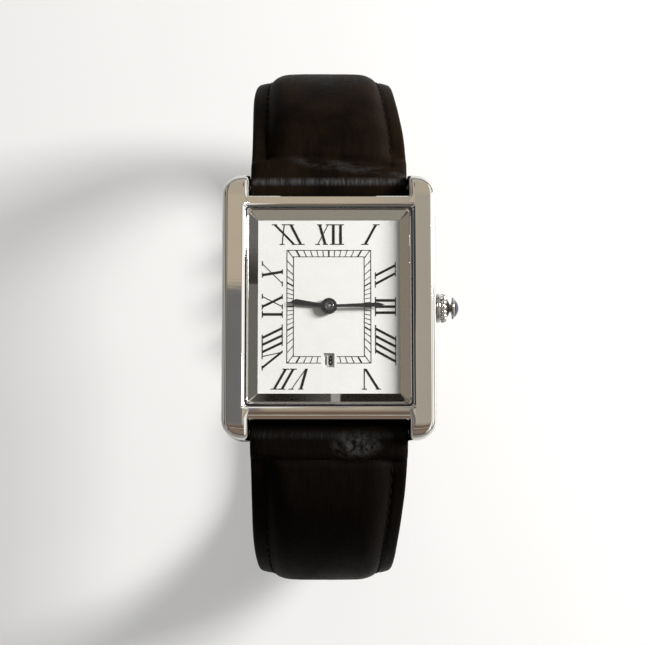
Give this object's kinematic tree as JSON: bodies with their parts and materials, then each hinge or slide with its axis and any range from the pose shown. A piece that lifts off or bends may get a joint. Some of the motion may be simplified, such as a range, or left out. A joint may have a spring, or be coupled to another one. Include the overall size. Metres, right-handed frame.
{
  "type": "wristwatch",
  "caption": "Rectangular dress wristwatch: polished steel case, white Roman dial with date at six, blue-set crown, padded black leather strap buckled in a loop.",
  "frame": {"origin": "centre of the case back's outer face, the face that lies on the wrist", "axes": "+Z out of the dial, +Y towards twelve o'clock, +X towards the crown at three o'clock"},
  "size_m": [0.0345, 0.0806, 0.0507],
  "materials": {
    "case_steel": "polished",
    "back_steel": "brushed",
    "screw_steel": "polished",
    "movement_steel": "satin",
    "black_rubber": "matt",
    "crystal_glass": "polished",
    "dial_enamel": "satin lacquer",
    "dial_ink": "printed",
    "blued_steel": "blued, polished",
    "brass": "satin",
    "gilt_plate": "gilt, frosted",
    "date_white": "printed",
    "copper_wire": "enamelled wire",
    "circuit_green": "solder mask",
    "movement_plastic": "moulded",
    "blue_cabochon": "polished dome",
    "black_leather": "calf, semi-gloss",
    "lining_leather": "matt calf lining"
  },
  "bodies": {
    "root": {"case_middle": "case_steel", "case_back": "back_steel", "case_back_gasket": "black_rubber", "case_back_screws": "screw_steel", "crystal": "crystal_glass", "crystal_gasket": "black_rubber", "flange_ring": "case_steel", "dial": "dial_enamel", "hour_numerals": "dial_ink", "minute_track": "dial_ink", "date_guard_plate": "movement_steel", "date_jumper": "movement_steel", "main_plate": "gilt_plate", "train_bridge": "gilt_plate", "stator": "movement_steel", "coil": "copper_wire", "circuit_board": "circuit_green", "quartz_can": "movement_steel", "battery": "movement_steel", "battery_clamp": "movement_steel", "movement_screws": "screw_steel", "movement_ring": "movement_plastic", "crown_tube": "back_steel", "spring_bar_12": "movement_steel", "spring_bar_6": "movement_steel", "strap_12_leather": "black_leather", "strap_12_lining": "lining_leather", "strap_6_leather": "black_leather", "strap_6_lining": "lining_leather", "fixed_keeper": "black_leather", "buckle_bar": "movement_steel"},
    "minute": {"minute_hand": "blued_steel", "cannon_pinion": "brass", "centre_wheel": "brass"},
    "hour": {"hour_hand": "blued_steel", "hour_wheel": "brass"},
    "minute_wheel": {"minute_wheel": "brass"},
    "setting_wheel": {"setting_wheel": "brass"},
    "date_wheel": {"date_wheel": "brass"},
    "date_ring": {"date_ring": "date_white"},
    "intermediate_wheel": {"intermediate_wheel": "brass"},
    "rotor": {"rotor": "movement_steel"},
    "crown_slide": {"crown_gasket": "black_rubber"},
    "crown_stem": {"crown": "case_steel", "crown_cabochon": "blue_cabochon", "winding_stem": "movement_steel"},
    "sliding_pinion": {"sliding_pinion": "movement_steel"},
    "setting_lever": {"setting_lever": "movement_steel"},
    "pin_12_left": {"pin_12_left": "movement_steel"},
    "pin_12_right": {"pin_12_right": "movement_steel"},
    "pin_6_left": {"pin_6_left": "movement_steel"},
    "pin_6_right": {"pin_6_right": "movement_steel"},
    "free_keeper": {"free_keeper": "black_leather"},
    "buckle_frame": {"buckle_frame": "case_steel"},
    "buckle_tang": {"buckle_tang": "case_steel"}
  },
  "joints": [
    {"name": "minute_turn", "type": "hinge", "parent": "root", "child": "minute", "pos_m": [0, 0, 0.0059], "axis": [0, 0, -1], "continuous": true},
    {"name": "hour_turn", "type": "hinge", "parent": "root", "child": "hour", "pos_m": [0, 0, 0.0055], "axis": [0, 0, -1], "continuous": true},
    {"name": "minute_wheel_turn", "type": "hinge", "parent": "root", "child": "minute_wheel", "pos_m": [0.00226, 0.00082, 0.0037], "axis": [0, 0, -1], "continuous": true},
    {"name": "setting_wheel_turn", "type": "hinge", "parent": "root", "child": "setting_wheel", "pos_m": [0.00477, 0.00015, 0.0037], "axis": [0, 0, -1], "continuous": true},
    {"name": "date_wheel_turn", "type": "hinge", "parent": "root", "child": "date_wheel", "pos_m": [-0.00276, 0.00231, 0.0043], "axis": [0, 0, -1], "continuous": true},
    {"name": "intermediate_turn", "type": "hinge", "parent": "root", "child": "intermediate_wheel", "pos_m": [-0.00049, 0.00276, 0.0022], "axis": [0, 0, -1], "continuous": true},
    {"name": "rotor_turn", "type": "hinge", "parent": "root", "child": "rotor", "pos_m": [-0.00176, 0.00427, 0.0022], "axis": [0, 0, -1], "continuous": true},
    {"name": "date_ring_turn", "type": "hinge", "parent": "root", "child": "date_ring", "pos_m": [0, 0, 0.0043], "axis": [0, 0, -1], "continuous": true},
    {"name": "crown_pull", "type": "slide", "parent": "root", "child": "crown_slide", "axis": [1, 0, 0], "range_m": [0, 0.001]},
    {"name": "crown_turn", "type": "hinge", "parent": "crown_slide", "child": "crown_stem", "pos_m": [0.01565, 0, 0.0032], "axis": [1, 0, 0], "continuous": true},
    {"name": "pinion_slide", "type": "slide", "parent": "crown_stem", "child": "sliding_pinion", "axis": [1, 0, 0], "range_m": [-0.0015, 0]},
    {"name": "lever_swing", "type": "hinge", "parent": "root", "child": "setting_lever", "pos_m": [0.0088, -0.0023, 0.0023], "axis": [0, 0, -1], "range_deg": [0, 24.6]},
    {"name": "pin_12_left_press", "type": "slide", "parent": "root", "child": "pin_12_left", "axis": [1, 0, 0], "range_m": [0, 0.0009], "stiffness_N_per_m": 300, "springref_m": -0.001},
    {"name": "pin_12_right_press", "type": "slide", "parent": "root", "child": "pin_12_right", "axis": [-1, 0, 0], "range_m": [0, 0.0009], "stiffness_N_per_m": 300, "springref_m": -0.001},
    {"name": "pin_6_left_press", "type": "slide", "parent": "root", "child": "pin_6_left", "axis": [1, 0, 0], "range_m": [0, 0.0009], "stiffness_N_per_m": 300, "springref_m": -0.001},
    {"name": "pin_6_right_press", "type": "slide", "parent": "root", "child": "pin_6_right", "axis": [-1, 0, 0], "range_m": [0, 0.0009], "stiffness_N_per_m": 300, "springref_m": -0.001},
    {"name": "keeper_slide", "type": "slide", "parent": "root", "child": "free_keeper", "axis": [0, 1, 0], "range_m": [-0.0019, 0.0019]},
    {"name": "buckle_turn", "type": "hinge", "parent": "root", "child": "buckle_frame", "pos_m": [0, 0.002, -0.0388], "axis": [1, 0, 0], "range_deg": [0, 8]},
    {"name": "tang_turn", "type": "hinge", "parent": "buckle_frame", "child": "buckle_tang", "pos_m": [0, 0.002, -0.0388], "axis": [1, 0, 0], "range_deg": [0, 12]}
  ],
  "couplings": [
    {"joint": "hour_turn", "follows": "minute_turn", "ratio": 0.083333},
    {"joint": "minute_wheel_turn", "follows": "minute_turn", "ratio": -0.33333},
    {"joint": "setting_wheel_turn", "follows": "minute_turn", "ratio": 0.75},
    {"joint": "date_wheel_turn", "follows": "minute_turn", "ratio": -0.041667},
    {"joint": "intermediate_turn", "follows": "minute_turn", "ratio": -9},
    {"joint": "rotor_turn", "follows": "minute_turn", "ratio": 90},
    {"joint": "pinion_slide", "follows": "crown_pull", "ratio": -1.5},
    {"joint": "lever_swing", "follows": "crown_pull", "rad_per_m": 428.1}
  ]
}
